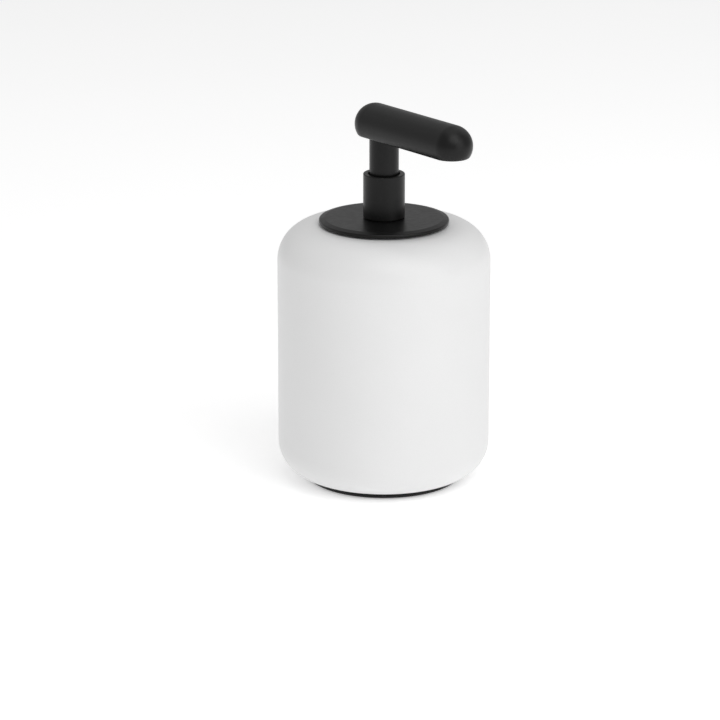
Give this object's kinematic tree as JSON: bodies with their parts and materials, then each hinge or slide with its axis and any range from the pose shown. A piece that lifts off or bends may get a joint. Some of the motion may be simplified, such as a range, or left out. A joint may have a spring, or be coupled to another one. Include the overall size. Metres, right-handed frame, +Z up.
{
  "type": "soap pump dispenser",
  "caption": "Round white ceramic vessel on a thin black foot, with a flat black lid, a collar and a press-down stem that carries a bar-shaped spout.",
  "frame": {"origin": "centre of the foot pad's underside, on the table and on the axis of the vessel", "axes": "+Z up along the vessel's axis, -Y the way the spout points"},
  "size_m": [0.087, 0.0948, 0.1569],
  "materials": {
    "white_ceramic": "matte glaze with a fine grain",
    "black_coated_metal": "satin black",
    "black_plastic": "matte",
    "black_rubber": "matte",
    "clear_silicone": "satin",
    "pale_plastic": "satin",
    "natural_plastic": "satin",
    "steel": "polished"
  },
  "bodies": {
    "vessel_unit": {"vessel": "white_ceramic", "neck_liner": "pale_plastic", "base_plate": "black_coated_metal", "foot_pad": "black_rubber"},
    "pump_unit": {"lid_disc": "black_coated_metal", "lid_gasket": "clear_silicone", "guide_collar": "black_coated_metal", "guide_bush": "pale_plastic", "stem_wiper": "black_rubber", "stopper": "pale_plastic", "stopper_seal_upper": "clear_silicone", "stopper_seal_lower": "clear_silicone", "pump_cylinder": "natural_plastic", "flange_gasket": "clear_silicone", "lock_ring": "pale_plastic", "rod_guide": "pale_plastic", "spring_seat": "pale_plastic", "dip_tube": "natural_plastic", "return_spring": "steel"},
    "inlet_valve_ball": {"inlet_ball": "steel"},
    "plunger": {"plunger_rod": "pale_plastic", "piston": "pale_plastic", "outlet_valve_seat": "pale_plastic", "rod_seal": "black_rubber", "rod_clip": "steel"},
    "outlet_valve_ball": {"outlet_ball": "steel"},
    "head": {"stem_sleeve": "black_coated_metal", "spout_bar": "black_coated_metal", "channel_liner": "pale_plastic", "rear_screw": "black_coated_metal", "nozzle": "black_plastic"}
  },
  "joints": [
    {"name": "lift_out", "type": "slide", "parent": "vessel_unit", "child": "pump_unit", "axis": [0, 0, 1], "range_m": [0, 0.11]},
    {"name": "press", "type": "slide", "parent": "pump_unit", "child": "plunger", "axis": [0, 0, -1], "range_m": [0, 0.013], "stiffness_N_per_m": 600, "springref_m": -0.008, "deforming": ["return_spring"]},
    {"name": "swivel", "type": "hinge", "parent": "plunger", "child": "head", "pos_m": [0, 0, 0.1484], "axis": [0, 0, 1], "continuous": true},
    {"name": "inlet_valve", "type": "slide", "parent": "pump_unit", "child": "inlet_valve_ball", "axis": [0, 0, 1], "range_m": [0, 0.001]},
    {"name": "outlet_valve", "type": "slide", "parent": "plunger", "child": "outlet_valve_ball", "axis": [0, 0, 1], "range_m": [0, 0.0012]}
  ]
}
